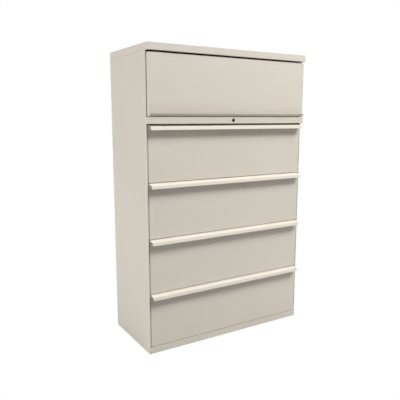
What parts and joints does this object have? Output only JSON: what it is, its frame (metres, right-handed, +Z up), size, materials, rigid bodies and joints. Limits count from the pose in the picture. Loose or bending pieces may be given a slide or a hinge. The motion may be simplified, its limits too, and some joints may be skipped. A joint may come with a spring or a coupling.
{
  "type": "lateral filing cabinet",
  "caption": "Tall steel lateral filing cabinet with full-width drawers on telescoping slides, a receding door over the top compartment and a central lock.",
  "frame": {"origin": "centre of the bounding box in plan, on the floor", "axes": "+Z up, drawers open towards -Y, +X to the right seen from the front"},
  "size_m": [1.067, 0.5159, 1.687],
  "materials": {
    "powder_coat": "warm light grey powder coat, fine texture, low sheen",
    "zinc_steel": "zinc-plated steel, satin",
    "black_metal": "black, satin",
    "nylon": "natural nylon",
    "cast_iron": "rough, dark"
  },
  "bodies": {
    "case": {"top_cap": "powder_coat", "left_side_panel": "powder_coat", "right_side_panel": "powder_coat", "back_panel": "powder_coat", "bottom_pan": "zinc_steel", "base_rail": "powder_coat", "ballast_plate": "cast_iron", "compartment_shelf": "powder_coat", "lock_rail": "powder_coat", "lock_housing": "black_metal", "left_front_upright": "zinc_steel", "left_rear_upright": "zinc_steel", "left_door_track": "zinc_steel", "right_front_upright": "zinc_steel", "right_rear_upright": "zinc_steel", "right_door_track": "zinc_steel", "drawer_1_left_slide_case_member": "zinc_steel", "drawer_1_right_slide_case_member": "zinc_steel", "drawer_2_left_slide_case_member": "zinc_steel", "drawer_2_right_slide_case_member": "zinc_steel", "drawer_3_left_slide_case_member": "zinc_steel", "drawer_3_right_slide_case_member": "zinc_steel", "drawer_4_left_slide_case_member": "zinc_steel", "drawer_4_right_slide_case_member": "zinc_steel"},
    "drawer_1": {"drawer_1_front": "powder_coat", "drawer_1_pull": "powder_coat", "drawer_1_tray": "powder_coat"},
    "drawer_1_runners": {"drawer_1_left_slide_middle_member": "zinc_steel", "drawer_1_right_slide_middle_member": "zinc_steel"},
    "drawer_2": {"drawer_2_front": "powder_coat", "drawer_2_pull": "powder_coat", "drawer_2_tray": "powder_coat"},
    "drawer_2_runners": {"drawer_2_left_slide_middle_member": "zinc_steel", "drawer_2_right_slide_middle_member": "zinc_steel"},
    "drawer_3": {"drawer_3_front": "powder_coat", "drawer_3_pull": "powder_coat", "drawer_3_tray": "powder_coat"},
    "drawer_3_runners": {"drawer_3_left_slide_middle_member": "zinc_steel", "drawer_3_right_slide_middle_member": "zinc_steel"},
    "drawer_4": {"drawer_4_front": "powder_coat", "drawer_4_pull": "powder_coat", "drawer_4_tray": "powder_coat"},
    "drawer_4_runners": {"drawer_4_left_slide_middle_member": "zinc_steel", "drawer_4_right_slide_middle_member": "zinc_steel"},
    "door_carriages": {"left_door_carriage": "nylon", "right_door_carriage": "nylon"},
    "door": {"door_panel": "powder_coat", "door_liner": "powder_coat", "door_pull": "powder_coat"},
    "lock_core": {"lock_plug": "black_metal", "lock_cam": "zinc_steel"},
    "lock_cross_rod": {"lock_rod": "zinc_steel"},
    "lock_upright_bar": {"lock_bar": "zinc_steel"},
    "front_left_foot": {"front_left_glide": "black_metal"},
    "rear_left_foot": {"rear_left_glide": "black_metal"},
    "front_right_foot": {"front_right_glide": "black_metal"},
    "rear_right_foot": {"rear_right_glide": "black_metal"}
  },
  "joints": [
    {"name": "drawer_1_slide", "type": "slide", "parent": "case", "child": "drawer_1", "axis": [0, -1, 0], "range_m": [0, 0.4]},
    {"name": "drawer_1_runner_slide", "type": "slide", "parent": "case", "child": "drawer_1_runners", "axis": [0, -1, 0], "range_m": [0, 0.2]},
    {"name": "drawer_2_slide", "type": "slide", "parent": "case", "child": "drawer_2", "axis": [0, -1, 0], "range_m": [0, 0.4]},
    {"name": "drawer_2_runner_slide", "type": "slide", "parent": "case", "child": "drawer_2_runners", "axis": [0, -1, 0], "range_m": [0, 0.2]},
    {"name": "drawer_3_slide", "type": "slide", "parent": "case", "child": "drawer_3", "axis": [0, -1, 0], "range_m": [0, 0.4]},
    {"name": "drawer_3_runner_slide", "type": "slide", "parent": "case", "child": "drawer_3_runners", "axis": [0, -1, 0], "range_m": [0, 0.2]},
    {"name": "drawer_4_slide", "type": "slide", "parent": "case", "child": "drawer_4", "axis": [0, -1, 0], "range_m": [0, 0.4]},
    {"name": "drawer_4_runner_slide", "type": "slide", "parent": "case", "child": "drawer_4_runners", "axis": [0, -1, 0], "range_m": [0, 0.2]},
    {"name": "door_recede", "type": "slide", "parent": "case", "child": "door_carriages", "axis": [0, 1, 0], "range_m": [0, 0.236]},
    {"name": "door_tilt", "type": "hinge", "parent": "door_carriages", "child": "door", "pos_m": [0, -0.213, 1.616], "axis": [-1, 0, 0], "range_deg": [0, 90]},
    {"name": "lock_turn", "type": "hinge", "parent": "case", "child": "lock_core", "pos_m": [0, -0.247, 1.2965], "axis": [0, 1, 0], "range_deg": [0, 90]},
    {"name": "lock_rod_slide", "type": "slide", "parent": "case", "child": "lock_cross_rod", "axis": [1, 0, 0], "range_m": [0, 0.012]},
    {"name": "lock_bar_slide", "type": "slide", "parent": "case", "child": "lock_upright_bar", "axis": [0, 0, 1], "range_m": [0, 0.012]},
    {"name": "front_left_glide_height", "type": "slide", "parent": "case", "child": "front_left_foot", "axis": [0, 0, -1], "range_m": [0, 0.018]},
    {"name": "rear_left_glide_height", "type": "slide", "parent": "case", "child": "rear_left_foot", "axis": [0, 0, -1], "range_m": [0, 0.018]},
    {"name": "front_right_glide_height", "type": "slide", "parent": "case", "child": "front_right_foot", "axis": [0, 0, -1], "range_m": [0, 0.018]},
    {"name": "rear_right_glide_height", "type": "slide", "parent": "case", "child": "rear_right_foot", "axis": [0, 0, -1], "range_m": [0, 0.018]}
  ],
  "couplings": [
    {"joint": "drawer_1_runner_slide", "follows": "drawer_1_slide", "ratio": 0.5},
    {"joint": "drawer_2_runner_slide", "follows": "drawer_2_slide", "ratio": 0.5},
    {"joint": "drawer_3_runner_slide", "follows": "drawer_3_slide", "ratio": 0.5},
    {"joint": "drawer_4_runner_slide", "follows": "drawer_4_slide", "ratio": 0.5},
    {"joint": "lock_rod_slide", "follows": "lock_bar_slide", "ratio": 1},
    {"joint": "lock_turn", "follows": "lock_bar_slide", "rad_per_m": 130.89}
  ]
}
